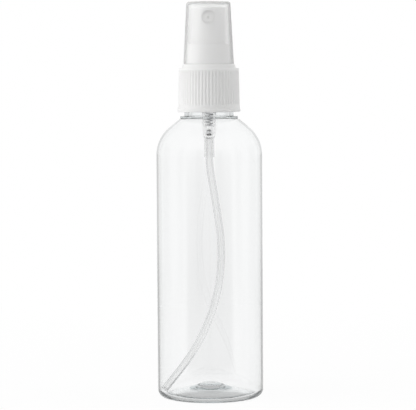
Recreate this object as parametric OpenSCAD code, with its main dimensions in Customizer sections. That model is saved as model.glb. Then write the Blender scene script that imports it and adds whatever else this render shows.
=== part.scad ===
// Fine mist spray bottle with a finger pump: clear round bottle, ribbed screw collar,
// spray button, pump, bent dip tube and translucent dust cap.
// Millimetres. The origin is the centre of the base, +Z is up, the spray leaves towards -Y.

/* [Bottle] */
// Outside diameter of the bottle
bottle_d = 40.5; // [36:0.1:48]
// Height of the straight side, from the table to the start of the shoulder
side_h = 92.9; // [78:0.1:130]
// Thickness of the side wall
side_wall = 0.7; // [0.5:0.05:1.2]
// Radius of the corner round the base
base_corner_r = 2.8; // [2:0.1:4]
// Width of the flat ring that the bottle stands on
foot_w = 2.4; // [1.5:0.1:4]
// Rise of the domed base above the table
dome_h = 3; // [2:0.1:5]
// Thickness of the domed base
base_t = 1.3; // [0.8:0.1:2]
// Radius of the raised disc in the middle of the base
disc_r = 4.6; // [3:0.1:6]
// Rise of that disc above the dome
disc_h = 1.3; // [0.5:0.1:2]
// Radius of the moulding nub under the disc
nub_r = 1.2; // [0.6:0.1:1.6]
// Length of the moulding nub
nub_h = 0.7; // [0.3:0.1:1.2]
// Radius of the round shoulder
shoulder_r = 13.45; // [10:0.05:16]
// Angle through which the shoulder curves before it runs straight
shoulder_angle = 50.7; // [42:0.1:58]
// Diameter of the small ring at the top of the shoulder
ring_d = 22; // [20:0.1:24]
// Height of that ring
ring_h = 0.8; // [0.5:0.1:1.6]

/* [Neck] */
// Diameter of the neck under its thread
neck_d = 17.4; // [16.6:0.1:18.6]
// Height of the neck, from the ring to the mouth
neck_h = 14.1; // [13:0.1:18]
// Diameter of the mouth
mouth_d = 15; // [14:0.1:15.6]
// Height by which the thread stands out of the neck
thread_h = 1; // [0.8:0.05:1.2]
// Rise of the thread in one turn
thread_pitch = 3.175; // [2.8:0.005:3.6]
// Turns of thread on the neck
thread_turns = 1.5; // [1:0.25:1.75]
// Width of the thread at its crest
thread_crest = 0.7; // [0.5:0.05:0.9]
// Width of the thread at the neck
thread_root = 1.5; // [1.2:0.05:1.7]
// Distance from the mouth down to the upper end of the thread
thread_start = 1.9; // [1.4:0.1:2.6]
// Radius by which the plain band below the thread stands out
band_out = 0.7; // [0.3:0.05:0.9]
// Height of that band
band_h = 2.3; // [1:0.1:3]

/* [Screw collar] */
// Gap between the crest of each thread and the wall that it faces
thread_gap = 0.3; // [0.2:0.05:0.5]
// Gap between the loaded flanks of the two threads
flank_gap = 0.2; // [0.1:0.05:0.3]
// Wall of the collar at its top, out to the crest of the ribs
collar_wall = 1.45; // [1.2:0.05:2]
// Growth of the collar's radius from top to bottom
collar_draft = 0.35; // [0:0.05:0.6]
// Gap between the bottom of the collar and the bottle's ring
collar_gap = 1.66; // [1:0.02:3]
// Thickness of the collar's roof
roof_t = 2.3; // [1.8:0.05:3]
// Width of the lip at the bottom of the collar
lip_w = 0.22; // [0.1:0.02:0.4]
// Height of that lip
lip_h = 0.9; // [0.5:0.1:1.5]
// Number of grip ribs
rib_count = 57; // [36:1:72]
// Height of a rib
rib_h = 0.28; // [0.15:0.01:0.4]
// Plain band below the ribs
rib_bottom = 2.6; // [1.8:0.1:5]
// Plain band above the ribs
rib_top = 0.7; // [0.5:0.05:2]
// Height of the cone on the collar that the dust cap stands on
cone_h = 1.45; // [0.8:0.05:2.5]
// Ledge left round the foot of the dust cap
cone_ledge = 0.18; // [0:0.02:0.4]
// Growth of the cone's radius towards its foot
cone_flare = 0.55; // [0.2:0.05:0.8]

/* [Spray button] */
// Travel of the button
stroke = 4.5; // [3:0.1:5.5]
// Wall of the button's skirt
button_wall = 1; // [0.8:0.05:1.4]
// Gap between the skirt and the pump's tube inside it
skirt_gap = 0.3; // [0.2:0.05:0.6]
// Gap between the skirt and the collar's sleeve around it
sleeve_gap = 0.7; // [0.3:0.05:1]
// Wall of the collar's sleeve at its top
sleeve_wall = 0.98; // [0.8:0.02:1.3]
// Depth by which the skirt reaches into the sleeve at rest
skirt_depth = 2.1; // [1:0.1:4]
// Room left under the skirt when the button is down
skirt_room = 1.65; // [0.3:0.05:3]
// Room left under the stem socket when the button is down
socket_room = 1.6; // [0.3:0.1:3]
// Length of the stem inside its socket
stem_grip = 6; // [3:0.1:7]
// Height from the end of the stem to the boss round the nozzle
feed_room = 0.6; // [0.3:0.1:2]
// Wall of the boss round the nozzle
boss_wall = 0.7; // [0.5:0.05:1]
// Thickness left between that boss and the finger dish
dish_cover = 0.1; // [0.1:0.05:2]
// Thickness of the button's top at its rim
button_top_t = 2.1; // [1.6:0.1:3]
// Depth of the finger dish
dish_h = 0.8; // [0.2:0.05:1]
// Rounding of the button's upper edge
button_edge_r = 0.6; // [0.2:0.05:0.8]
// Diameter of the nozzle insert
nozzle_d = 4.6; // [3.6:0.1:4.8]
// Length of the nozzle insert
nozzle_len = 2.2; // [1.8:0.1:2.6]
// Thickness of the nozzle's face
nozzle_face_t = 0.8; // [0.5:0.05:1]
// Diameter of the spray hole
orifice_d = 0.4; // [0.2:0.05:0.8]

/* [Dust cap] */
// Gap between the cap and the sleeve that it grips
cap_fit = 0.09; // [0.05:0.01:0.2]
// Wall of the cap
cap_wall = 0.95; // [0.7:0.05:1.3]
// Taper of the cap's side
cap_taper = 3; // [1:0.1:3.6]
// Gap between the button and the inside of the cap's top
cap_head_gap = 1.2; // [0.6:0.1:3]
// Thickness of the cap's top
cap_top_t = 0.8; // [0.6:0.05:1.5]
// Rise of the crown of the cap's top
cap_crown = 0.2; // [0:0.05:0.6]
// Rounding of the cap's upper edge
cap_edge_r = 0.7; // [0.3:0.05:0.9]

/* [Pump] */
// Thickness of the neck gasket
gasket_t = 0.9; // [0.6:0.1:2]
// Thickness of the pump's flange
flange_t = 1; // [0.8:0.05:1.6]
// Diameter of the piston's bore
bore_d = 6; // [5.2:0.1:6.6]
// Wall of the pump's cylinder
cylinder_wall = 1.1; // [0.8:0.05:1.3]
// Step in radius from the bore to the plug above it
plug_step = 1.1; // [0.8:0.05:1.4]
// Wall of the tube round the plug
tube_wall = 1.1; // [0.9:0.05:1.3]
// Rise of that tube above the collar's roof
tube_rise = 2.45; // [1.6:0.05:4]
// Height by which the snap bead stands out of the tube
bead_h = 0.45; // [0.3:0.05:0.6]
// Width of the snap bead
bead_w = 0.8; // [0.5:0.05:1.2]
// Depth of the plug below the flange
plug_depth = 1.4; // [0.8:0.1:2]
// Thickness of the guide's rim on top of the tube
guide_t = 1; // [0.6:0.1:1.6]
// Length of the guide's tip in the bore
tip_len = 1; // [0.6:0.1:1.6]
// Diameter of the stem
stem_d = 3.8; // [3.2:0.1:4]
// Diameter of the stem's channel
stem_bore_d = 1.9; // [1.4:0.1:2]
// Thickness of the stem's shoulder
shoulder_t = 1; // [0.6:0.1:1.4]
// Length of the piston
piston_len = 3.8; // [3:0.1:5]
// Slip of the piston on the stem, which opens the outlet
piston_slip = 0.6; // [0.3:0.05:1]
// Thickness of the valve pin's head
head_t = 0.9; // [0.6:0.05:1.4]
// Length of the pin's tail inside the spring
tail_len = 2.8; // [1:0.1:4]
// Height of the cone below the bore
funnel_h = 1.4; // [1.2:0.1:2.4]
// Length of the spring chamber
chamber_len = 6; // [4:0.1:8]
// Wall of the spring chamber at its top
chamber_wall = 0.95; // [0.7:0.05:1.2]
// Narrowing of the chamber's outside towards its foot
chamber_taper = 0.4; // [0:0.05:0.45]
// Diameter of the spring
spring_d = 3.2; // [2.8:0.1:3.4]
// Diameter of the spring's wire
wire_d = 0.5; // [0.4:0.02:0.56]
// Turns of the spring
spring_turns = 10; // [7:0.5:11]
// Diameter of the inlet ball
ball_d = 2.4; // [2.2:0.05:2.5]
// Lift of the inlet ball
ball_lift = 0.7; // [0.3:0.05:0.8]
// Length of the tube socket
socket_len = 7.6; // [5:0.1:12]
// Wall of the tube socket
socket_wall = 0.5; // [0.4:0.05:0.8]

/* [Dip tube] */
// Outside diameter of the dip tube
tube_d = 2.8; // [2.4:0.05:3.2]
// Bore of the dip tube
tube_bore_d = 1.8; // [1.2:0.05:2]
// Upper bend, to the right
lean_right = 9; // [5:0.5:12]
// Radius of the upper bend
lean_right_r = 30; // [15:1:45]
// Slope of the lower end, to the left
lean_left = 38.5; // [32:0.5:42]
// Radius of the long lower bend
lean_left_r = 72; // [55:1:80]
// Gap between the tube's end and the bottle's side
tube_side_gap = 0.65; // [0.3:0.05:2]
// Gap between the tube's end and the bottle's floor
tube_floor_gap = 1.1; // [0.5:0.1:4]

/* [Hidden] */
$fn = 96;
// Names of the separate pieces

// Clearances that many pieces share
seat_gap = 0.05;
push_fit = 0.02;
slide_fit = 0.05;
loose_fit = 0.15;
// Depth by which a rib or thread is rooted in its wall
rooted = 0.3;
// Small edge bevel
bevel = 0.3;

// Bottle: radii and heights
body_r = bottle_d / 2;
inner_r = body_r - side_wall;
foot_out_r = body_r - base_corner_r;
foot_in_r = foot_out_r - foot_w;
dome_r = (pow(foot_in_r, 2) + pow(dome_h, 2)) / (2 * dome_h);
disc_slope = 0.8;
disc_z = dome_z(disc_r, 0) + disc_h;
shoulder_x = body_r - shoulder_r;
ring_r = ring_d / 2;
shoulder_end_x = shoulder_x + shoulder_r * cos(shoulder_angle);
shoulder_end_z = side_h + shoulder_r * sin(shoulder_angle);
ring_z = shoulder_end_z + (shoulder_end_x - ring_r) / tan(shoulder_angle);
neck_z = ring_z + ring_h;
mouth_z = neck_z + neck_h;
neck_r = neck_d / 2;
mouth_r = mouth_d / 2;
neck_root_t = 1;
thread_r = neck_r + thread_h;
thread_z = mouth_z - thread_start - thread_root / 2 - thread_pitch * thread_turns;

// Pump and collar: radii, from the bore outwards
bore_r = bore_d / 2;
plug_r = bore_r + plug_step;
tube_r = plug_r + tube_wall;
button_in_r = tube_r + skirt_gap;
button_r = button_in_r + button_wall;
sleeve_in_r = button_r + sleeve_gap;
sleeve_r = sleeve_in_r + sleeve_wall;
roof_hole_r = tube_r + loose_fit;
bead_r = tube_r + bead_h;
barrel_r = plug_r + tube_wall - bevel;
collar_in_r = thread_r + thread_gap;
collar_top_r = collar_in_r + collar_wall;
collar_bottom_r = collar_top_r + collar_draft;
flange_r = neck_r - seat_gap;

// Nozzle: radii, and places in front of the axis
nozzle_r = nozzle_d / 2;
boss_r = nozzle_r + boss_wall;
spray_post_r = nozzle_r / 2;
cup_gap = 0.3;
cup_in_r = spray_post_r + cup_gap;
nozzle_inset = 1;
nozzle_front = button_r - nozzle_inset;
nozzle_back = nozzle_front - nozzle_len;
recess_room = 0.4;
recess_back = nozzle_back - recess_room;
swirl_gap = 0.25;

// Heights, from the mouth of the bottle upwards
flange_z = mouth_z + gasket_t;
roof_z = flange_z + flange_t + seat_gap;
collar_top_z = roof_z + roof_t;
collar_bottom_z = neck_z + collar_gap;
cone_z = collar_top_z + cone_h;
bead_z = collar_top_z + 2 * seat_gap;
tube_top_z = collar_top_z + tube_rise;
guide_top_z = tube_top_z + guide_t;
skirt_z = bead_z + bead_w + stroke + skirt_room;
sleeve_top_z = skirt_z + skirt_depth;
socket_z = guide_top_z + stroke + socket_room;
stem_top_z = socket_z + stem_grip;
nozzle_z = stem_top_z + feed_room + boss_r;
button_top_z = nozzle_z + boss_r + dish_cover + dish_h;
cap_bottom_z = cone_z + seat_gap;
cap_inner_z = button_top_z + cap_head_gap;
cap_top_z = cap_inner_z + cap_top_t;

// Heights, from the flange of the pump downwards
plug_z = flange_z - plug_depth;
tip_z = plug_z - tip_len;
piston_top_z = tip_z - seat_gap;
piston_z = piston_top_z - piston_len;
shoulder_z = piston_top_z + piston_slip;
shoulder_top_z = shoulder_z + shoulder_t;
head_top_z = piston_z - seat_gap;
head_z = head_top_z - head_t;
bore_z = head_z - stroke - 2 * seat_gap;
funnel_z = bore_z - funnel_h;
ledge_z = funnel_z - chamber_len;

// Stem, pin and spring
stem_r = stem_d / 2;
stem_bore_r = stem_bore_d / 2;
tail_step = 0.4;
tail_r = stem_r - tail_step;
shoulder_gap = 0.8;
shoulder_out_r = bore_r - shoulder_gap;
head_gap = 0.7;
head_r = bore_r - head_gap;
port_h = 0.45;
spring_r = (spring_d - wire_d) / 2;
chamber_r = spring_d / 2 + loose_fit;
chamber_out_r = chamber_r + chamber_wall;
chamber_foot_r = chamber_out_r - chamber_taper;
spring_len = head_z - ledge_z;

// Inlet ball and tube socket
ball_r = ball_d / 2;
ball_hole_r = ball_r + 2 * slide_fit;
seat_w = 0.55;
throat_r = ball_r - seat_w;
throat_len = 0.9;
ball_room = ball_r * (1 + sqrt(2)) - ball_hole_r + ball_lift;
seat_top_z = ledge_z - ball_room;
seat_z = seat_top_z - (ball_hole_r - throat_r);
ball_z = seat_z - throat_r + ball_r * sqrt(2) + push_fit;
stop_z = seat_z - throat_len;
socket_bottom_z = stop_z - socket_len;
tube_r_out = tube_d / 2;
tube_r_in = tube_bore_d / 2;
socket_r = tube_r_out + push_fit;
socket_out_r = socket_r + socket_wall;

// Dip tube: the two straight runs follow from where its lower end has to lie
tube_lead = 0.6;
tube_x_end = -(inner_r - tube_side_gap - tube_r_out * cos(lean_left));
tube_floor_z = dome_z(foot_in_r, base_t);
tube_z_end = tube_floor_z + tube_floor_gap;
bend_start_z = socket_bottom_z - tube_lead;
run_x = tube_x_end - lean_right_r * (1 - cos(lean_right))
    - lean_left_r * (cos(lean_left) - cos(lean_right));
run_z = bend_start_z - tube_z_end - lean_right_r * sin(lean_right)
    - lean_left_r * (sin(lean_right) + sin(lean_left));
upper_run = (run_x * cos(lean_left) + run_z * sin(lean_left)) / sin(lean_right + lean_left);
lower_run = (run_z * sin(lean_right) - run_x * cos(lean_right)) / sin(lean_right + lean_left);

// Height of the base's dome at a radius, thickened by t
function dome_z(x, t) = dome_h - dome_r + sqrt(pow(dome_r + t, 2) - x * x);

// Points of an arc
function arc(centre, r, from, to, n) = [
    for (i = [0:n])
        let (a = from + (to - from) * i / n)
        centre + r * [cos(a), sin(a)]
];

// Points of the dome from one radius to another
function dome_arc(from, to, t, n) = [
    for (i = [0:n])
        let (x = from + (to - from) * i / n)
        [x, dome_z(x, t)]
];

// Joins rings of equally many points into one closed skin of triangles
module skin(rings) {
    sides = len(rings[0]);
    last = len(rings) - 1;
    points = [for (ring = rings) for (p = ring) p];
    start = [for (i = [1:sides - 2]) [0, i, i + 1]];
    top = last * sides;
    end = [for (i = [1:sides - 2]) [top, top + i + 1, top + i]];
    walls = [
        for (k = [0:last - 1])
            for (i = [0:sides - 1])
                let (a = k * sides + i, b = k * sides + (i + 1) % sides)
                each [[a, a + sides, b], [b, a + sides, b + sides]]
    ];
    polyhedron(points, concat(start, end, walls), convexity = 6);
}

// Thread from a root radius to a crest radius that climbs from z = 0, sunk into its wall at both ends
module thread(root_r, crest_r, turns) {
    per_turn = 24;
    n = ceil(turns * per_turn);
    run_in = 2;
    blunt = 0.2;
    inward = crest_r < root_r;
    rings = [
        for (k = [0:n])
            let (
                a = 360 * turns * k / n,
                z = thread_pitch * turns * k / n,
                full = min(1, blunt + k / run_in, blunt + (n - k) / run_in),
                r = root_r + (crest_r - root_r) * full,
                low = [[root_r, -thread_root / 2], [r, -thread_crest / 2]],
                high = [[r, thread_crest / 2], [root_r, thread_root / 2]],
                section = concat(low, high)
            )
            [
                for (i = [0:3])
                    let (p = section[inward ? i : 3 - i])
                    [p[0] * cos(a), p[0] * sin(a), z + p[1]]
            ]
    ];
    skin(rings);
}

module bottle() {
    outside = concat(
        [[0, disc_z - nub_h], [nub_r, disc_z - nub_h], [nub_r, disc_z], [disc_r - disc_slope, disc_z]],
        dome_arc(disc_r, foot_in_r, 0, 6),
        arc([foot_out_r, base_corner_r], base_corner_r, -90, 0, 8),
        arc([shoulder_x, side_h], shoulder_r, 0, shoulder_angle, 12),
        [[ring_r, ring_z], [ring_r - bevel / 3, neck_z - bevel], [ring_r - bevel, neck_z]],
        [[neck_r + band_out, neck_z], [neck_r + band_out, neck_z + band_h]],
        [[neck_r, neck_z + band_h + bevel], [neck_r, mouth_z - bevel]],
        [[neck_r - bevel, mouth_z], [mouth_r, mouth_z]]
    );
    inside = concat(
        [[mouth_r, neck_z - neck_root_t]],
        arc([shoulder_x, side_h], shoulder_r - side_wall, shoulder_angle, 0, 12),
        arc([foot_out_r, base_corner_r], base_corner_r - side_wall, 0, -90, 8),
        dome_arc(foot_in_r, disc_r + disc_slope, base_t, 6),
        [[disc_r, disc_z + base_t], [0, disc_z + base_t]]
    );
    color("aliceblue", 0.35)
    union() {
        rotate_extrude() polygon(concat(outside, inside));
        translate([0, 0, thread_z]) thread(neck_r - rooted, thread_r, thread_turns);
    }
}

// Radius of the collar's rib crests at a height
function crest_r(z) = collar_top_r + collar_draft * (collar_top_z - z) / (collar_top_z - collar_bottom_z);

// Radius of the dust cap's inside at a height
function cap_in_r(z) = sleeve_r + cap_fit + (sleeve_top_z - z) * tan(cap_taper);

module screw_collar() {
    rib_low_z = collar_bottom_z + rib_bottom;
    rib_high_z = collar_top_z - rib_top;
    rib_end_z = rib_high_z + bevel / 3;
    edge_r = 0.4;
    rib_fade = 0.5;
    // Half widths of a rib at its foot and crest, as shares of the step from rib to rib
    rib_foot = 0.34;
    rib_crest = 0.17;
    step = 360 / rib_count;
    root_r = collar_top_r - rib_h - rooted;
    lip_r = collar_bottom_r + lip_w;
    lip_z = collar_bottom_z + lip_h;
    cone_r = cap_in_r(cap_bottom_z) + cap_wall + cone_ledge;
    flank_drop = (thread_root + thread_crest) / 2 + flank_gap;
    lead_turns = 0.25;
    core = concat(
        [[collar_in_r, collar_bottom_z], [lip_r - bevel / 2, collar_bottom_z]],
        [[lip_r, collar_bottom_z + bevel / 2], [lip_r, lip_z], [crest_r(lip_z), lip_z + bevel]],
        [[crest_r(rib_low_z), rib_low_z], [crest_r(rib_low_z + rib_fade) - rib_h, rib_low_z + rib_fade]],
        [[crest_r(rib_high_z) - rib_h, rib_high_z], [crest_r(rib_high_z) - bevel / 3, rib_end_z]],
        arc([collar_top_r - edge_r, collar_top_z - edge_r], edge_r, 0, 90, 4),
        [[cone_r + cone_flare, collar_top_z], [cone_r, cone_z], [cap_in_r(cone_z) - cap_fit, cone_z]],
        [[sleeve_r, sleeve_top_z - bevel], [sleeve_r - bevel, sleeve_top_z]],
        [[sleeve_in_r, sleeve_top_z], [sleeve_in_r, collar_top_z], [roof_hole_r, collar_top_z]],
        [[roof_hole_r, roof_z], [collar_in_r, roof_z]]
    );
    ribs = [
        for (i = [0:rib_count - 1])
            each [
                for (p = [[-rib_foot, root_r], [-rib_crest, lip_r], [rib_crest, lip_r], [rib_foot, root_r]])
                    let (a = (i + p[0]) * step)
                    p[1] * [cos(a), sin(a)]
            ]
    ];
    crests = [
        [sleeve_r, rib_low_z], [crest_r(rib_low_z), rib_low_z],
        [crest_r(rib_high_z) - bevel / 3, rib_end_z], [sleeve_r, rib_end_z]
    ];
    color("white")
    union() {
        rotate_extrude() polygon(core);
        intersection() {
            translate([0, 0, rib_low_z])
            linear_extrude(rib_end_z - rib_low_z)
            difference() {
                polygon(ribs);
                circle(collar_in_r + rooted);
            }
            rotate_extrude() polygon(crests);
        }
        translate([0, 0, thread_z - flank_drop])
            thread(collar_in_r + rooted, neck_r + thread_gap, thread_turns - lead_turns);
    }
}

module dust_cap() {
    outer_bottom_r = cap_in_r(cap_bottom_z) + cap_wall;
    outer_top_r = cap_in_r(cap_top_z) + cap_wall;
    crown_half = 0.75 * cap_crown;
    color("gainsboro", 0.6)
    rotate_extrude()
    polygon(concat(
        [[cap_in_r(cap_bottom_z), cap_bottom_z], [outer_bottom_r, cap_bottom_z]],
        arc([outer_top_r - cap_edge_r, cap_top_z - cap_edge_r], cap_edge_r, cap_taper, 90, 5),
        [[(outer_top_r - cap_edge_r) / 2, cap_top_z + crown_half], [0, cap_top_z + cap_crown]],
        [[0, cap_inner_z], [cap_in_r(cap_inner_z) - bevel, cap_inner_z]],
        [[cap_in_r(cap_inner_z - bevel), cap_inner_z - bevel]]
    ));
}

// Cylinder along the spray, from one distance in front of the axis to another
module along_spray(r, from, to, z) {
    translate([0, -from, z]) rotate([90, 0, 0]) cylinder(r = r, h = to - from);
}

module spray_button() {
    grip_r = stem_r + push_fit;
    post_wall = 1.1;
    post_r = grip_r + post_wall;
    rim_w = 0.7;
    dish_r = button_r - button_edge_r - rim_w;
    dish_ball_r = (pow(dish_r, 2) + pow(dish_h, 2)) / (2 * dish_h);
    dish_angle = asin(dish_r / dish_ball_r);
    feed_z = nozzle_z - (spray_post_r + nozzle_r) / 2;
    feed_r = 0.5;
    shell = concat(
        [[grip_r, socket_z], [post_r, socket_z], [post_r, button_top_z - button_top_t]],
        [[button_in_r, button_top_z - button_top_t], [button_in_r, skirt_z], [button_r, skirt_z]],
        arc([button_r - button_edge_r, button_top_z - button_edge_r], button_edge_r, 0, 90, 5),
        arc([0, button_top_z - dish_h + dish_ball_r], dish_ball_r, -90 + dish_angle, -90, 6),
        [[0, stem_top_z], [grip_r, stem_top_z]]
    );
    color("white")
    union() {
        difference() {
            union() {
                rotate_extrude() polygon(shell);
                along_spray(boss_r, 0, sqrt(pow(button_r, 2) - pow(boss_r, 2)) - bevel / 2, nozzle_z);
            }
            translate([0, 0, stem_top_z - seat_gap])
                cylinder(r = stem_bore_r - bevel / 2, h = feed_z - stem_top_z + feed_r);
            along_spray(feed_r, 0, recess_back + seat_gap, feed_z);
            along_spray(nozzle_r + push_fit, recess_back, button_r + nozzle_inset, nozzle_z);
            along_spray(nozzle_r + bevel, nozzle_front, button_r + nozzle_inset, nozzle_z);
        }
        along_spray(spray_post_r, recess_back - bevel, nozzle_front - nozzle_face_t - swirl_gap, nozzle_z);
    }
}

module nozzle_insert() {
    exit_h = nozzle_face_t / 2;
    color("whitesmoke")
    translate([0, -nozzle_back, nozzle_z])
    rotate([90, 0, 0])
    rotate_extrude()
    polygon([
        [cup_in_r, 0], [nozzle_r, 0], [nozzle_r, nozzle_len - bevel / 2],
        [nozzle_r - bevel / 2, nozzle_len], [orifice_d / 2 + exit_h, nozzle_len],
        [orifice_d / 2, nozzle_len - exit_h],
        [orifice_d / 2, nozzle_len - nozzle_face_t], [cup_in_r, nozzle_len - nozzle_face_t]
    ]);
}

module neck_gasket() {
    color("lightgrey")
    translate([0, 0, mouth_z])
    difference() {
        cylinder(r = neck_r, h = gasket_t);
        translate([0, 0, -gasket_t]) cylinder(r = barrel_r + loose_fit, h = 3 * gasket_t);
    }
}

module pump_body() {
    cylinder_r = bore_r + cylinder_wall;
    neck_down = 1;
    vent_r = 0.4;
    vent_drop = 1.6;
    vent_z = piston_top_z - vent_drop;
    inside = [
        [plug_r, tube_top_z], [plug_r, plug_z], [bore_r, plug_z], [bore_r, bore_z], [chamber_r, funnel_z],
        [chamber_r, ledge_z], [ball_hole_r, ledge_z], [ball_hole_r, seat_top_z], [throat_r, seat_z],
        [throat_r, stop_z], [socket_r, stop_z], [socket_r, socket_bottom_z]
    ];
    outside = [
        [socket_out_r, socket_bottom_z], [socket_out_r, stop_z], [chamber_foot_r - bevel, stop_z],
        [chamber_foot_r, seat_z], [chamber_out_r, funnel_z - bevel], [cylinder_r, bore_z],
        [cylinder_r, plug_z - cylinder_wall - neck_down], [barrel_r, plug_z - cylinder_wall],
        [barrel_r, flange_z], [flange_r, flange_z], [flange_r, flange_z + flange_t],
        [tube_r, flange_z + flange_t], [tube_r, bead_z], [bead_r, bead_z],
        [bead_r, bead_z + bead_w / 2], [tube_r, bead_z + bead_w], [tube_r, tube_top_z]
    ];
    color("gainsboro", 0.6)
    difference() {
        rotate_extrude() polygon(concat(inside, outside));
        along_spray(vent_r, bore_r / 2, 2 * cylinder_r, vent_z);
    }
}

module stem_guide() {
    hole_r = stem_r + slide_fit;
    recess_r = shoulder_out_r + loose_fit;
    recess_z = shoulder_top_z + seat_gap;
    color("whitesmoke")
    rotate_extrude()
    polygon([
        [hole_r, guide_top_z], [hole_r, recess_z], [recess_r, recess_z], [recess_r, tip_z],
        [bore_r - loose_fit, tip_z], [bore_r - loose_fit, plug_z], [plug_r - push_fit, plug_z],
        [plug_r - push_fit, tube_top_z], [tube_r, tube_top_z], [tube_r, guide_top_z - bevel],
        [tube_r - bevel, guide_top_z]
    ]);
}

module stem() {
    color("white")
    rotate_extrude()
    polygon([
        [stem_bore_r, head_top_z + port_h], [tail_r, head_top_z + port_h], [tail_r, shoulder_z],
        [shoulder_out_r, shoulder_z], [shoulder_out_r, shoulder_top_z], [stem_r, shoulder_top_z],
        [stem_r, stem_top_z], [stem_bore_r, stem_top_z]
    ]);
}

module valve_pin() {
    shank_r = stem_bore_r - push_fit;
    shank_len = 2.6;
    slot_w = 0.5;
    pin_tail_r = spring_r - wire_d / 2 - 2 * loose_fit;
    color("whitesmoke")
    difference() {
        rotate_extrude()
        polygon([
            [0, head_z - tail_len], [pin_tail_r - bevel / 2, head_z - tail_len],
            [pin_tail_r, head_z - tail_len + bevel / 2], [pin_tail_r, head_z], [head_r, head_z],
            [head_r, head_top_z], [shank_r, head_top_z], [shank_r, head_top_z + shank_len],
            [0, head_top_z + shank_len]
        ]);
        for (side = [-1, 1])
            translate([side * shank_r, 0, head_top_z + shank_len])
            cube([shank_r, slot_w, 2 * shank_len], center = true);
    }
}

module piston() {
    lip_r = bore_r - slide_fit;
    lip_out = 0.45;
    waist_r = lip_r - lip_out;
    lip_edge = 0.25;
    lip_len = 0.7;
    lip_end = 1.2;
    color("ghostwhite")
    rotate_extrude()
    polygon([
        [tail_r + slide_fit, piston_z], [waist_r, piston_z], [lip_r, piston_z + lip_edge],
        [lip_r, piston_z + lip_len], [waist_r, piston_z + lip_end], [waist_r, piston_top_z - lip_end],
        [lip_r, piston_top_z - lip_len], [lip_r, piston_top_z - lip_edge], [waist_r, piston_top_z],
        [tail_r + slide_fit, piston_top_z]
    ]);
}

// Centre line of the spring: a helix between two short upright ends
steps_per_turn = 8;
spring_steps = steps_per_turn * spring_turns;
spring_helix = [
    for (k = [0:spring_steps])
        let (a = 360 * spring_turns * k / spring_steps)
        [spring_r * cos(a), spring_r * sin(a), wire_d + (spring_len - 2 * wire_d) * k / spring_steps]
];
spring_line = concat(
    [[spring_r, 0, 0]],
    spring_helix,
    [[spring_helix[spring_steps][0], spring_helix[spring_steps][1], spring_len]]
);
spring_gap = min([
    for (i = [0:spring_steps - steps_per_turn / 2])
        for (k = [i + steps_per_turn / 2:spring_steps])
            norm(spring_helix[i] - spring_helix[k])
]) - wire_d;
echo("least gap between the turns of the spring", spring_gap);

// Ring of a swept tube at point k of a line, square to the bisector of its two runs
function unit(v) = v / norm(v);
function tube_ring(line, k, r, sides, out) =
    let (
        last = len(line) - 1,
        before = unit(line[max(k, 1)] - line[max(k, 1) - 1]),
        after = unit(line[min(k, last - 1) + 1] - line[min(k, last - 1)]),
        dir = unit(before + after),
        u = unit(out - (out * dir) * dir),
        v = cross(dir, u)
    )
    [for (i = [0:sides - 1]) let (a = 360 * i / sides) line[k] + r * (cos(a) * u + sin(a) * v)];

module return_spring() {
    sides = 6;
    color("silver")
    translate([0, 0, ledge_z])
    skin([
        for (k = [0:len(spring_line) - 1])
            let (p = spring_line[k])
            tube_ring(spring_line, k, wire_d / 2, sides, unit([p[0], p[1], 0]))
    ]);
}

module check_ball() {
    color("dimgray")
    translate([0, 0, ball_z]) sphere(r = ball_r);
}

// Centre line of the dip tube, in the plane across the spray
tube_top_end = stop_z - seat_gap;
upper_steps = 3;
upper_bend = [
    for (i = [0:upper_steps])
        let (a = lean_right * i / upper_steps)
        lean_right_r * [1 - cos(a), -sin(a)]
];
upper_end = upper_bend[upper_steps] + upper_run * [sin(lean_right), -cos(lean_right)];
lower_steps = 16;
lower_bend = [
    for (i = [0:lower_steps])
        let (a = lean_right - (lean_right + lean_left) * i / lower_steps)
        upper_end + lean_left_r * [cos(a) - cos(lean_right), sin(a) - sin(lean_right)]
];
lower_end = lower_bend[lower_steps] - lower_run * [sin(lean_left), cos(lean_left)];
tube_line = [
    [0, 0, tube_top_end],
    for (p = concat(upper_bend, lower_bend, [lower_end])) [p[0], 0, bend_start_z + p[1]]
];

module dip_tube() {
    sides = 12;
    last = len(tube_line) - 1;
    outer = [for (k = [0:last]) tube_ring(tube_line, k, tube_r_out, sides, [0, 1, 0])];
    inner = [for (k = [0:last]) tube_ring(tube_line, last - k, tube_r_in, sides, [0, 1, 0])];
    count = 2 * (last + 1);
    faces = [
        for (k = [0:count - 1])
            for (i = [0:sides - 1])
                let (j = (i + 1) % sides, a = k * sides, b = ((k + 1) % count) * sides)
                each [[a + i, b + i, a + j], [a + j, b + i, b + j]]
    ];
    color("whitesmoke", 0.7)
    polyhedron([for (ring = concat(outer, inner)) for (p = ring) p], faces, convexity = 6);
}

bottle();
screw_collar();
dust_cap();
spray_button();
nozzle_insert();
neck_gasket();
pump_body();
stem_guide();
stem();
valve_pin();
piston();
return_spring();
check_ball();
dip_tube();
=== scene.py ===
"""Looks of a clear spray bottle with a finger pump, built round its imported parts.

The pieces that show are modelled here as by hand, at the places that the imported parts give, and
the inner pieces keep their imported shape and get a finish. Lengths are in metres.
"""

from __future__ import annotations

import logging
import math
from collections.abc import Callable, Iterator, Sequence
from contextlib import contextmanager
from dataclasses import dataclass, field
from enum import Enum

import bpy
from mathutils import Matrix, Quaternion, Vector


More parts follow.
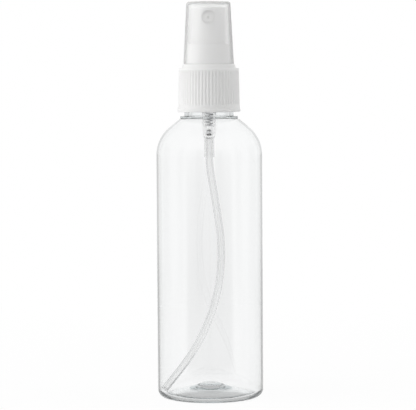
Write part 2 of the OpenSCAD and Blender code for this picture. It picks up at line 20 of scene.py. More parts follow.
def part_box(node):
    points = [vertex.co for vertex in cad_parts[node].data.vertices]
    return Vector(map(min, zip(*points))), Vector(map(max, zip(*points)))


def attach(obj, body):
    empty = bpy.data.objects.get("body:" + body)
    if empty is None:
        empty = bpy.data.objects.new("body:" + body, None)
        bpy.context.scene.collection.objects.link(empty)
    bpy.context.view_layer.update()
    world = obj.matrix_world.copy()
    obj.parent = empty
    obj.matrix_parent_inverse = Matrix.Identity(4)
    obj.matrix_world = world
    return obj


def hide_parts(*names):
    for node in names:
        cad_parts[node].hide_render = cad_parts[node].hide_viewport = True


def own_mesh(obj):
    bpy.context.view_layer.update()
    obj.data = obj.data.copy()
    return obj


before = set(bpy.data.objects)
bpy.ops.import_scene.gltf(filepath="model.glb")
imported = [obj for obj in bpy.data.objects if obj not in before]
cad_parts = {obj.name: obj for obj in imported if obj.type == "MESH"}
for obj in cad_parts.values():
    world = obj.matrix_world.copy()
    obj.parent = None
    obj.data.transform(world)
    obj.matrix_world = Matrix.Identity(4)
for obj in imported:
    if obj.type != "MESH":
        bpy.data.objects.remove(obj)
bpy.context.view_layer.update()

MM = 0.001
FULL_TURN = 2 * math.pi
# Segments round a turned piece, and the widest angle of one step along a fillet
ROUND_STEPS = 144
FILLET_STEP = math.radians(6)
# A corner that turns less than this is left straight
STRAIGHT = math.radians(1)
# How far out a fillet's guard points lie, and the room that two fillets need on one side
GUARD = 1.02
FILLET_ROOM = 1.04
# Points closer than this are one point
WELD = 0.001 * MM
# Edges sharper than this stay crisp
CRISP_ANGLE = math.radians(40)
# Thread beads: steps in a turn, sides, steps over which an end thins out, and what its tip keeps
THREAD_STEPS = 48
THREAD_SIDES = 12
THREAD_FADE = 4
THREAD_TIP = 0.35
# Relief of see-through moulded plastic, and of a drawn or polished surface
FINE_GRAIN = 0.0005 * MM
POLISH = 0.001 * MM
# Values between which noise mostly stays, plain and drawn out into lines
NOISE_SPAN = (0.3, 0.7)
LINE_SPAN = (0.35, 0.65)

Point = tuple[float, float]
Color = tuple[float, float, float]
Piece = bpy.types.Object
Material = bpy.types.Material
Node = bpy.types.Node
Socket = bpy.types.NodeSocket
Level = float | Socket
WHITE: Color = (1.0, 1.0, 1.0)
log = logging.getLogger("spray_bottle")


class SelectMode(Enum):
    """Which of points, edges and faces edit mode selects."""

    POINTS = (True, False, False)
    FACES = (False, False, True)


class Bounce(Enum):
    """How often light bounces within a rough surface."""

    ONCE = "GGX"
    MANY = "MULTI_GGX"


class Pattern(Enum):
    """Node group that varies the surface of a finish."""

    MOULDED = "moulded_surface"
    DRAWN = "drawn_lines"


@dataclass(frozen=True)
class Corner:
    """Corner of a turned outline: distance from the axis, height, and the fillet that rounds it."""

    r: float
    z: float
    fillet: float = 0.0


def reach(node: str) -> float:
    """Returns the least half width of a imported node, in metres."""
    low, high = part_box(node)
    return min(-low.x, high.x, -low.y, high.y)


def arc_points(centre: Point, r: float, start: float, end: float, steps: int) -> list[Point]:
    """Returns the points of an arc round a centre, in equal steps from one angle to another."""
    angles = [start + (end - start) * i / steps for i in range(steps + 1)]
    return [(centre[0] + r * math.cos(a), centre[1] + r * math.sin(a)) for a in angles]


def fillet_cut(before: Corner, corner: Corner, after: Corner) -> float:
    """Returns how far a corner's fillet reaches along each of its two sides.

    Args:
        before: Corner that comes before.
        corner: Corner to round.
        after: Corner that comes after.

    Returns:
        The length that the fillet takes of each side, 0 for a bare or straight corner.
    """
    here = Vector((corner.r, corner.z))
    back = Vector((before.r, before.z)) - here
    ahead = Vector((after.r, after.z)) - here
    turn = math.pi - back.angle(ahead)
    return corner.fillet * math.tan(turn / 2) if turn > STRAIGHT else 0.0


def fillet_points(
    before: Corner, corner: Corner, after: Corner, cut: float, widest: float
) -> list[Point]:
    """Rounds one corner of an outline.

    Args:
        before: Corner that comes before.
        corner: Corner to round.
        after: Corner that comes after.
        cut: Length that the fillet takes of each side.
        widest: Widest angle of one step along the fillet.

    Returns:
        The points of the fillet, with a guard point on each straight side, or the bare corner.
    """
    if cut <= 0:
        return [(corner.r, corner.z)]
    here = Vector((corner.r, corner.z))
    u = (Vector((before.r, before.z)) - here).normalized()
    v = (Vector((after.r, after.z)) - here).normalized()
    opening = u.angle(v)
    radius = cut * math.tan(opening / 2)
    centre = here + (u + v).normalized() * radius / math.sin(opening / 2)
    first, last = here + u * cut - centre, here + v * cut - centre
    turn = math.pi - opening
    steps = max(2, math.ceil(turn / widest))
    side = 1 if first.x * last.y - first.y * last.x > 0 else -1
    start = math.atan2(first.y, first.x)
    points = arc_points(tuple(centre), radius, start, start + side * turn, steps)
    guard = cut * GUARD
    return [tuple(here + u * guard), *points, tuple(here + v * guard)]


def rounded(corners: Sequence[Corner], closed: bool, widest: float = FILLET_STEP) -> list[Point]:
    """Returns the points of an outline whose corners are rounded.

    Args:
        corners: Corners of the outline, in order.
        closed: Whether the last corner joins the first.
        widest: Widest angle of one step along a fillet.

    Returns:
        The outline's points, in order.
    """
    count = len(corners)
    around = [(corners[i - 1], corners[i], corners[(i + 1) % count]) for i in range(count)]
    cuts = [fillet_cut(*three) for three in around]
    if not closed:
        cuts[0] = cuts[-1] = 0.0
    points: list[Point] = []
    for i, (before, corner, after) in enumerate(around):
        cut = cuts[i]
        for other, j in ((before, i - 1), (after, (i + 1) % count)):
            side = math.hypot(other.r - corner.r, other.z - corner.z)
            needed = FILLET_ROOM * (cuts[i] + cuts[j])
            if needed > side:
                cut = min(cut, cuts[i] * side / needed)
        points += fillet_points(before, corner, after, cut, widest)
    return points


def only(piece: Piece) -> None:
    """Makes a piece the only selected one and the active one.

    Args:
        piece: Piece to select.
    """
    bpy.ops.object.select_all(action="DESELECT")
    piece.select_set(True)
    bpy.context.view_layer.objects.active = piece


@contextmanager
def editing(piece: Piece, mode: SelectMode = SelectMode.POINTS) -> Iterator[None]:
    """Opens a piece in edit mode, with what its mesh has selected, and closes it again.

    Args:
        piece: Piece to edit.
        mode: What edit mode selects.

    Returns:
        A context in which edit mode is on.
    """
    only(piece)
    # Set first, because a selection of faces is lost when edit mode opens on points
    bpy.context.tool_settings.mesh_select_mode = mode.value
    bpy.ops.object.mode_set(mode="EDIT")
    yield
    bpy.ops.object.mode_set(mode="OBJECT")


def pick(
    piece: Piece, wanted: Callable[[Vector], bool], mode: SelectMode = SelectMode.POINTS
) -> None:
    """Selects the points or faces of a piece by their place, and nothing else.

    Args:
        piece: Piece to select on, in object mode.
        wanted: Says of a place whether the point or face there is selected.
        mode: Whether points or faces are selected.
    """
    mesh = piece.data
    for part in (mesh.vertices, mesh.edges, mesh.polygons):
        part.foreach_set("select", [False] * len(part))
    if mode is SelectMode.FACES:
        mesh.polygons.foreach_set("select", [wanted(face.center) for face in mesh.polygons])
    else:
        mesh.vertices.foreach_set("select", [wanted(point.co) for point in mesh.vertices])


def apply_modifier(piece: Piece, kind: str, **settings: object) -> None:
    """Adds a modifier to a piece and applies it.

    Args:
        piece: Piece to change.
        kind: Type of the modifier.
        settings: Values of the modifier.
    """
    modifier = piece.modifiers.new(kind.lower(), kind)
    for name, value in settings.items():
        setattr(modifier, name, value)
    only(piece)
    bpy.ops.object.modifier_apply(modifier=modifier.name)


def combine(piece: Piece, other: Piece) -> None:
    """Makes one closed mesh of a piece and another closed mesh, which is removed."""
    apply_modifier(piece, "BOOLEAN", operation="UNION", solver="EXACT", object=other)
    bpy.data.objects.remove(other, do_unlink=True)


def face_outwards(piece: Piece) -> None:
    """Welds a closed piece's doubled points and turns its faces outwards.

    Args:
        piece: Piece to change.
    """
    with editing(piece):
        bpy.ops.mesh.select_all(action="SELECT")
        bpy.ops.mesh.remove_doubles(threshold=WELD)
        bpy.ops.mesh.normals_make_consistent(inside=False)


def start_piece(name: str, primitive: Callable[..., set[str]], **settings: float) -> Piece:
    """Adds a primitive for a piece to start from, with everything else deselected.

    Args:
        name: Name of the new piece.
        primitive: Operator that adds the primitive.
        settings: Values of the operator.

    Returns:
        The new piece.
    """
    bpy.ops.object.select_all(action="DESELECT")
    primitive(**settings)
    piece = bpy.context.active_object
    piece.name = piece.data.name = name
    return piece


def turned(name: str, outline: Sequence[Point], closed: bool, steps: int = ROUND_STEPS) -> Piece:
    """Turns an outline round the Z axis, as on a lathe.

    Args:
        name: Name of the new piece.
        outline: Points of the outline, as distance from the axis and height.
        closed: Whether the last point joins the first. An open outline ends on the axis.
        steps: Segments round the axis.

    Returns:
        A closed piece with its faces outwards.
    """
    piece = start_piece(name, bpy.ops.mesh.primitive_plane_add, size=MM)
    route = [*outline, outline[0]] if closed else list(outline)
    with editing(piece):
        bpy.ops.mesh.select_all(action="SELECT")
        bpy.ops.mesh.merge(type="CENTER")
        place = (0.0, 0.0)
        for i, (r, z) in enumerate(route):
            step = (r - place[0], 0, z - place[1])
            if i == 0:
                bpy.ops.transform.translate(value=step)
            else:
                bpy.ops.mesh.extrude_region_move(TRANSFORM_OT_translate={"value": step})
            place = (r, z)
        bpy.ops.mesh.select_all(action="SELECT")
        bpy.ops.mesh.remove_doubles(threshold=WELD)
        bpy.ops.mesh.spin(steps=steps, angle=FULL_TURN, center=(0, 0, 0), axis=(0, 0, 1))
    face_outwards(piece)
    return piece


def swept(
    name: str, path: Sequence[Vector], r: float, shares: Sequence[float], sides: int
) -> Piece:
    """Sweeps a round section along a path.

    Args:
        name: Name of the new piece.
        path: Points of the centre line.
        r: Radius of the section.
        shares: Share of that radius at each point.
        sides: Segments round the section, an even number.

    Returns:
        A tube with closed ends.
    """
    piece = start_piece(name, bpy.ops.curve.primitive_nurbs_path_add)
    curve = piece.data
    curve.splines.clear()
    spline = curve.splines.new("POLY")
    spline.points.add(len(path) - 1)
    for point, place, share in zip(spline.points, path, shares):
        point.co = (*place, 1)
        point.radius = share
    curve.dimensions = "3D"
    curve.twist_mode = "MINIMUM"
    curve.bevel_depth = r
    # A bevel has four sides, and two more for each step of its resolution
    curve.bevel_resolution = sides // 2 - 2
    curve.use_fill_caps = True
    only(piece)
    bpy.ops.object.convert(target="MESH")
    piece = bpy.context.active_object
    piece.data.name = name
    face_outwards(piece)
    return piece


def helix(r: float, turns: float, height: Callable[[float], float], steps: int) -> list[Vector]:
    """Returns the points of a helix round the Z axis.

    Args:
        r: Radius of the helix.
        turns: Number of turns.
        height: Gives the height after a number of turns.
        steps: Steps in one turn.

    Returns:
        The points, from the first turn to the last.
    """
    count = math.ceil(turns * steps)
    points = []
    for i in range(count + 1):
        turn = turns * i / count
        angle = FULL_TURN * turn
        points.append(Vector((r * math.cos(angle), r * math.sin(angle), height(turn))))
    return points


def thread_bead(
    name: str, middle_r: float, bead_r: float, turns: float, low_z: float, pitch: float
) -> Piece:
    """Models the bead of a screw thread, which thins out towards its two ends.

    Args:
        name: Name of the bead.
        middle_r: Distance of its centre line from the axis.
        bead_r: Radius of the bead itself.
        turns: Number of turns.
        low_z: Height of its lower end.
        pitch: Rise of one turn.

    Returns:
        The bead, with closed ends.
    """
    path = helix(middle_r, turns, lambda turn: low_z + pitch * turn, THREAD_STEPS)
    last = len(path) - 1
    shares = [
        min(1.0, THREAD_TIP + (1 - THREAD_TIP) * min(i, last - i) / THREAD_FADE)
        for i in range(len(path))
    ]
    return swept(name, path, bead_r, shares, THREAD_SIDES)


class Graph:
    """Adds nodes to a node tree and links them in the same call."""

    def __init__(self, tree: bpy.types.NodeTree) -> None:
        """Empties a node tree and works on it."""
        self.tree = tree
        tree.nodes.clear()

    def link(self, source: Socket, target: Socket) -> None:
        """Links one socket to another."""
        self.tree.links.new(source, target)

    def add(self, kind: str, inputs: dict | None = None, **settings: object) -> Node:
        """Adds one node.

        Args:
            kind: Type of the node.
            inputs: Value or output socket for each named or numbered input.
            settings: Values of the node itself.

        Returns:
            The new node.
        """
        node = self.tree.nodes.new(kind)
        for name, value in settings.items():
            setattr(node, name, value)
        for key, value in (inputs or {}).items():
            if isinstance(value, Socket):
                self.link(value, node.inputs[key])
            else:
                node.inputs[key].default_value = value
        return node

    def math(self, kind: str, *values: Level) -> Socket:
        """Adds a Math node that works on values or sockets, and returns its output."""
        return self.add("ShaderNodeMath", dict(enumerate(values)), operation=kind).outputs[0]

    def blend(self, share: Level, first: Level, second: Level) -> Socket:
        """Adds a Mix node for two values and the share of the second, and returns its output."""
        return self.add("ShaderNodeMix", {0: share, 2: first, 3: second}).outputs[0]

    def ramp(
        self, value: Level, span: Sequence[Level], levels: Sequence[Level], soft: bool = False
    ) -> Socket:
        """Adds a Map Range node.

        Args:
            value: Value or socket that runs along the ramp.
            span: Where the ramp starts and where it ends.
            levels: What it puts out at its start and at its end.
            soft: Whether it eases in and out.

        Returns:
            The socket that puts the result out.
        """
        inputs = dict(enumerate((value, *span, *levels)))
        kind = "SMOOTHSTEP" if soft else "LINEAR"
        return self.add("ShaderNodeMapRange", inputs, interpolation_type=kind).outputs[0]

    def grey(self, level: Socket) -> Socket:
        """Returns the socket of a grey colour with a level."""
        return self.add("ShaderNodeCombineColor", {0: level, 1: level, 2: level}).outputs[0]


def rgba(color: Color) -> tuple[float, float, float, float]:
    """Returns a colour with full alpha."""
    return (*color, 1.0)


def new_material(name: str) -> tuple[Material, Graph]:
    """Makes a material that has no nodes yet.

    Args:
        name: Name of the material.

    Returns:
        The new material and its empty graph.
    """
    material = bpy.data.materials.new(name)
    material.use_nodes = True
    return material, Graph(material.node_tree)


def new_group(
    pattern: Pattern, inputs: dict[str, tuple[str, object]], outputs: dict[str, str]
) -> Graph:
    """Makes an empty shader node group with its sockets.

    Args:
        pattern: Pattern that the group makes.
        inputs: Socket type and default value by input name.
        outputs: Socket type by output name.

    Returns:
        The group's graph, to be filled.
    """
    tree = bpy.data.node_groups.new(pattern.value, "ShaderNodeTree")
    for label, (kind, value) in inputs.items():
        socket = tree.interface.new_socket(label, in_out="INPUT", socket_type=kind)
        socket.default_value = value
    for label, kind in outputs.items():
        tree.interface.new_socket(label, in_out="OUTPUT", socket_type=kind)
    return Graph(tree)


def add_moulded_surface() -> None:
    """Builds the surface of moulded plastic: a drifting tone, uneven gloss and a fine grain."""
    graph = new_group(
        Pattern.MOULDED,
        {
            "Tone": ("NodeSocketColor", (0.8, 0.8, 0.8, 1)),
            "Deep Tone": ("NodeSocketColor", (0.75, 0.75, 0.75, 1)),
            "Drift Scale": ("NodeSocketFloat", 60.0),
            "Gloss Low": ("NodeSocketFloat", 0.3),
            "Gloss High": ("NodeSocketFloat", 0.4),
            "Gloss Scale": ("NodeSocketFloat", 400.0),
            "Grain Scale": ("NodeSocketFloat", 5000.0),
        },
        {"Color": "NodeSocketColor", "Roughness": "NodeSocketFloat", "Height": "NodeSocketFloat"},
    )
    given = graph.add("NodeGroupInput").outputs
    place = graph.add("ShaderNodeTexCoord").outputs["Object"]
    drift, gloss, grain = [
        graph.add("ShaderNodeTexNoise", {"Vector": place, "Scale": given[scale], "Detail": detail})
        for scale, detail in (("Drift Scale", 3), ("Gloss Scale", 4), ("Grain Scale", 2))
    ]
    tones = {0: drift.outputs["Fac"], 6: given["Tone"], 7: given["Deep Tone"]}
    tone = graph.add("ShaderNodeMix", tones, data_type="RGBA").outputs[2]
    levels = (given["Gloss Low"], given["Gloss High"])
    rough = graph.ramp(gloss.outputs["Fac"], NOISE_SPAN, levels)
    height = grain.outputs["Fac"]
    graph.add("NodeGroupOutput", {"Color": tone, "Roughness": rough, "Height": height})


def add_drawn_lines() -> None:
    """Builds faint lines along the Z axis, as drawing or blowing leaves them."""
    graph = new_group(
        Pattern.DRAWN,
        {
            "Across": ("NodeSocketFloat", 120.0),
            "Along": ("NodeSocketFloat", 12.0),
            "Gloss Low": ("NodeSocketFloat", 0.0),
            "Gloss High": ("NodeSocketFloat", 0.05),
        },
        {"Height": "NodeSocketFloat", "Roughness": "NodeSocketFloat"},
    )
    given = graph.add("NodeGroupInput").outputs
    place = graph.add("ShaderNodeTexCoord").outputs["Object"]
    across, along = given["Across"], given["Along"]
    stretch = graph.add("ShaderNodeCombineXYZ", {0: across, 1: across, 2: along}).outputs[0]
    scaled = graph.add("ShaderNodeVectorMath", {0: place, 1: stretch}, operation="MULTIPLY")
    noise = {"Vector": scaled.outputs[0], "Scale": 1.0, "Detail": 2}
    lines = graph.add("ShaderNodeTexNoise", noise).outputs["Fac"]
    rough = graph.ramp(lines, LINE_SPAN, (given["Gloss Low"], given["Gloss High"]))
    graph.add("NodeGroupOutput", {"Height": lines, "Roughness": rough})


@dataclass(frozen=True)
class Finish:
    """What every finish has: its least and most roughness, how it bends light, and its relief."""

    gloss: tuple[float, float]
    ior: float = field(default=1.49, kw_only=True)
    relief: float = field(default=0.004 * MM, kw_only=True)
    bounce = Bounce.MANY
    pattern = Pattern.MOULDED

    def constants(self) -> dict[str, object]:
        """Returns the shader's values that are the same all over the surface."""
        return {"IOR": self.ior}

    def varied(self) -> dict[str, object]:
        """Returns the values that the pattern varies."""
        return {"Gloss Low": self.gloss[0], "Gloss High": self.gloss[1]}

    def inside(self, graph: Graph) -> dict[str, Socket]:
        """Returns what lies under the surface, by input of the graph's output node."""
        return {}

    def material(self, name: str) -> Material:
        """Makes the material.

        Args:
            name: Name of the material.

        Returns:
            The new material.
        """
        material, graph = new_material(name)
        shader = graph.add(
            "ShaderNodeBsdfPrincipled", self.constants(), distribution=self.bounce.value
        )
        tree = bpy.data.node_groups[self.pattern.value]
        surface = graph.add("ShaderNodeGroup", self.varied(), node_tree=tree).outputs
        relief = {"Distance": self.relief, "Height": surface["Height"]}
        graph.link(graph.add("ShaderNodeBump", relief).outputs[0], shader.inputs["Normal"])
        graph.link(surface["Roughness"], shader.inputs["Roughness"])
        if self.pattern is Pattern.MOULDED:
            graph.link(surface["Color"], shader.inputs["Base Color"])
        filled = {"Surface": shader.outputs[0], **self.inside(graph)}
        graph.add("ShaderNodeOutputMaterial", filled)
        return material


@dataclass(frozen=True)
class MouldedFinish(Finish):
    """Finish of moulded plastic, in which light may glow a little way under the surface."""

    color: Color
    deep_color: Color
    grain: float = 5000.0
    glow: float = 0.0
    glow_reach: float = 1.0 * MM

    def constants(self) -> dict[str, object]:
        """Adds the glow to the shader's plain values.

        Returns:
            The values by input name.
        """
        return {
            **super().constants(),
            "Subsurface Weight": self.glow,
            "Subsurface Scale": self.glow_reach,
            "Subsurface Radius": WHITE,
        }

    def varied(self) -> dict[str, object]:
        """Returns the values that the pattern varies, with the two tones and the grain."""
        tones = {"Tone": rgba(self.color), "Deep Tone": rgba(self.deep_color)}
        return {**super().varied(), **tones, "Grain Scale": self.grain}


@dataclass(frozen=True)
class MilkyFinish(MouldedFinish):
    """Finish of moulded plastic that lets light through and blurs it."""

    clarity: float = 1.0
    bounce = Bounce.ONCE

    def constants(self) -> dict[str, object]:
        """Returns the shader's plain values, with the light that passes through."""
        return {**super().constants(), "Transmission Weight": self.clarity}


@dataclass(frozen=True)
class SteelFinish(MouldedFinish):
    """Finish of drawn or polished steel, with the drift and grain of the moulded surface."""

    def constants(self) -> dict[str, object]:
        """Returns the shader's plain values, as metal."""
        return {**super().constants(), "Metallic": 1.0}


@dataclass(frozen=True)
class ClearFinish(Finish):
    """Finish of a clear blown or drawn wall, whose plastic takes up a little light on its way."""

    dimming: Color = (24.0, 19.0, 18.0)
    bounce = Bounce.ONCE
    pattern = Pattern.DRAWN

    def constants(self) -> dict[str, object]:
        """Returns the shader's plain values, as clear plastic."""
        return {**super().constants(), "Base Color": rgba(WHITE), "Transmission Weight": 1.0}

    def inside(self, graph: Graph) -> dict[str, Socket]:
        """Adds the light that the plastic takes up.

        Args:
            graph: Graph of the material.

        Returns:
            The socket for the output node's volume.
        """
        # Twice the strongest channel, so that no channel of the tint is black
        density = 2 * max(self.dimming)
        tint = tuple(1 - share / density for share in self.dimming)
        dim = graph.add("ShaderNodeVolumeAbsorption", {"Color": rgba(tint), "Density": density})
        return {"Volume": dim.outputs[0]}


def finishes() -> dict[str, Finish]:
    """Lists the finishes.

    Returns:
        The finish of each of the record's material slots.
    """
    white, white_deep = (0.88, 0.88, 0.875), (0.86, 0.86, 0.855)
    natural, natural_deep = (0.99, 0.99, 0.99), (0.98, 0.98, 0.98)
    foam, foam_deep = (0.85, 0.85, 0.84), (0.8, 0.8, 0.79)
    return {
        "clear_bottle": ClearFinish((0.0, 0.02), ior=1.57),
        "white_collar": MouldedFinish(
            (0.34, 0.44), white, white_deep, glow=0.35, glow_reach=1.2 * MM
        ),
        "milky_cap": MilkyFinish(
            (0.16, 0.22), WHITE, natural, relief=FINE_GRAIN, ior=1.4, clarity=0.8
        ),
        "white_button": MouldedFinish(
            (0.32, 0.42), (0.84, 0.84, 0.835), (0.82, 0.82, 0.815), glow=0.2
        ),
        "nozzle_white": MouldedFinish(
            (0.3, 0.4), (0.84, 0.84, 0.83), (0.82, 0.82, 0.81), glow=0.1
        ),
        "gasket_foam": MouldedFinish(
            (0.7, 0.85), foam, foam_deep, grain=2500.0, relief=0.03 * MM
        ),
        "pump_natural": MilkyFinish((0.1, 0.16), natural, natural_deep, relief=FINE_GRAIN),
        "guide_white": MouldedFinish((0.4, 0.5), white, white_deep),
        "stem_white": MouldedFinish((0.4, 0.5), white, white_deep),
        "piston_soft": MouldedFinish((0.5, 0.6), (0.85, 0.85, 0.84), (0.83, 0.83, 0.82)),
        "spring_steel": SteelFinish(
            (0.26, 0.38), (0.86, 0.86, 0.87), (0.8, 0.8, 0.81), grain=9000.0
        ),
        "ball_steel": SteelFinish(
            (0.08, 0.14), (0.82, 0.82, 0.83), (0.76, 0.76, 0.77), relief=POLISH
        ),
        "tube_natural": ClearFinish((0.05, 0.07), dimming=(110.0, 108.0, 108.0), relief=POLISH),
    }


def seat(piece: Piece, node: str, body: str, material: Material) -> None:
    """Shades a finished piece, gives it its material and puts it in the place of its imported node.

    Args:
        piece: New piece.
        node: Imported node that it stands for.
        body: Body that it moves with.
        material: Material of the piece.
    """
    only(piece)
    bpy.ops.object.shade_smooth_by_angle(angle=CRISP_ANGLE)
    piece.data.materials.clear()
    piece.data.materials.append(material)
    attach(piece, body)
    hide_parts(node)
    log.info("%s: %d faces, rides on %s", piece.name, len(piece.data.polygons), body)


def dress_node(node: str, material: Material) -> None:
    """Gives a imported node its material.

    Args:
        node: Name of the node.
        material: Material that fills its slots.
    """
    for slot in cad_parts[node].material_slots:
        slot.material = material
    log.info("%s: packed shape, finish %s", node, material.name)


@dataclass
class Bottle:
    """Clear blown bottle with a threaded neck."""

    wall: float = 0.7 * MM
    corner_r: float = 2.8 * MM
    foot_w: float = 2.4 * MM
    dome_h: float = 3.0 * MM
    dome_steps: int = 10
    base_t: float = 1.3 * MM
    disc_r: float = 4.6 * MM
    disc_slope: float = 0.8 * MM
    disc_h: float = 1.3 * MM
    # On the inside, the disc's slope is so many times as wide and its top so many times as large
    inner_slope: float = 4.5
    inner_top: float = 0.75
    nub_r: float = 1.2 * MM
    nub_h: float = 0.7 * MM
    side_h: float = 92.9 * MM
    shoulder_r: float = 13.45 * MM
    shoulder_angle: float = math.radians(50.7)
    ring_r: float = 11.0 * MM
    ring_h: float = 0.8 * MM
    neck_r: float = 8.7 * MM
    neck_h: float = 14.1 * MM
    mouth_r: float = 7.5 * MM
    neck_root: float = 1.15 * MM
    root_r: float = 10.3 * MM
    band_out: float = 0.7 * MM
    band_h: float = 2.3 * MM
    thread_h: float = 1.0 * MM
    thread_r: float = 0.72 * MM
    thread_pitch: float = 3.175 * MM
    thread_turns: float = 1.5
    thread_start: float = 2.65 * MM
    body_r: float = field(default_factory=lambda: reach("bottle"))
    mouth_z: float = field(default_factory=lambda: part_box("bottle")[1].z)

    @property
    def inner_r(self) -> float:
        """Returns the radius of the side's inner face."""
        return self.body_r - self.wall

    @property
    def foot_in_r(self) -> float:
        """Returns the radius at which the base starts to rise."""
        return self.body_r - self.corner_r - self.foot_w

    @property
    def floor_z(self) -> float:
        """Returns the height of the inner floor above that radius."""
        return self.dome_z(self.foot_in_r, self.base_t)

    @property
    def thread_low_z(self) -> float:
        """Returns the height of the thread's lower end."""
        return self.mouth_z - self.thread_start - self.thread_pitch * self.thread_turns

    def dome_z(self, r: float, t: float) -> float:
        """Returns the height of the domed base at a radius, a thickness above its underside."""
        ball_r = (self.foot_in_r**2 + self.dome_h**2) / (2 * self.dome_h)
        return self.dome_h - ball_r + math.sqrt((ball_r + t) ** 2 - r**2)

    def dome(self, first: float, last: float, t: float) -> list[Corner]:
        """Returns points along the dome, without its two ends.

        Args:
            first: Distance from the axis at one end.
            last: Distance from the axis at the other end.
            t: Thickness above the underside.

        Returns:
            The points between those ends.
        """
        steps = self.dome_steps
        radii = [first + (last - first) * i / steps for i in range(1, steps)]
        return [Corner(r, self.dome_z(r, t)) for r in radii]

    def outline(self) -> list[Point]:
        """Draws the outline of the wall, from under the base over the mouth to the floor.

        Returns:
            The outline's points, in order.
        """
        disc_z = self.dome_z(self.disc_r, 0) + self.disc_h
        disc_in = self.disc_r - self.disc_slope
        disc_out = self.disc_r + self.inner_slope * self.disc_slope
        slope = math.tan(self.shoulder_angle / 2)
        inner_shoulder_r = self.shoulder_r - self.wall
        neck_z = self.mouth_z - self.neck_h
        band_z = neck_z + self.band_h
        band_r = self.neck_r + self.band_out
        fine, small, soft = 0.15 * MM, 0.3 * MM, 1.0 * MM
        broad, wide = 2.0 * MM, 5.0 * MM
        outside = [
            Corner(0, disc_z - self.nub_h),
            Corner(self.nub_r, disc_z - self.nub_h, small),
            Corner(self.nub_r, disc_z, small),
            Corner(disc_in, disc_z, soft),
            Corner(self.disc_r, self.dome_z(self.disc_r, 0), soft),
            *self.dome(self.disc_r, self.foot_in_r, 0),
            Corner(self.foot_in_r, 0, soft),
            Corner(self.body_r, 0, self.corner_r),
            Corner(self.body_r, self.side_h + self.shoulder_r * slope, self.shoulder_r),
            Corner(self.ring_r, neck_z - self.ring_h, fine),
            Corner(self.ring_r, neck_z, fine),
            Corner(band_r, neck_z, fine),
            Corner(band_r, band_z, fine),
            Corner(self.neck_r, band_z + small, fine),
            Corner(self.neck_r, self.mouth_z, small),
            Corner(self.mouth_r, self.mouth_z, small),
        ]
        inner_corner_z = self.side_h + inner_shoulder_r * slope
        root_z = inner_corner_z + (self.inner_r - self.root_r) / math.tan(self.shoulder_angle)
        inside = [
            Corner(self.mouth_r, neck_z - self.neck_root, fine),
            Corner(self.root_r, root_z, fine),
            Corner(self.inner_r, inner_corner_z, inner_shoulder_r),
            Corner(self.inner_r, self.wall, self.corner_r - self.wall),
            Corner(self.foot_in_r, self.floor_z, soft),
            *self.dome(self.foot_in_r, disc_out, self.base_t),
            Corner(disc_out, self.dome_z(disc_out, self.base_t), wide),
            Corner(self.inner_top * disc_in, disc_z + self.base_t, broad),
            Corner(0, disc_z + self.base_t),
        ]
        return rounded(outside + inside, closed=False)

    def build(self, material: Material) -> None:
        """Models the bottle and puts it in place.

        Args:
            material: Clear finish.
        """
        piece = turned("clear_bottle_wall", self.outline(), closed=False)
        thread = thread_bead(
            "neck_thread",
            self.neck_r + self.thread_h - self.thread_r,
            self.thread_r,
            self.thread_turns,
            self.thread_low_z,
            self.thread_pitch,
        )
        combine(piece, thread)
        seat(piece, "bottle", "bottle", material)


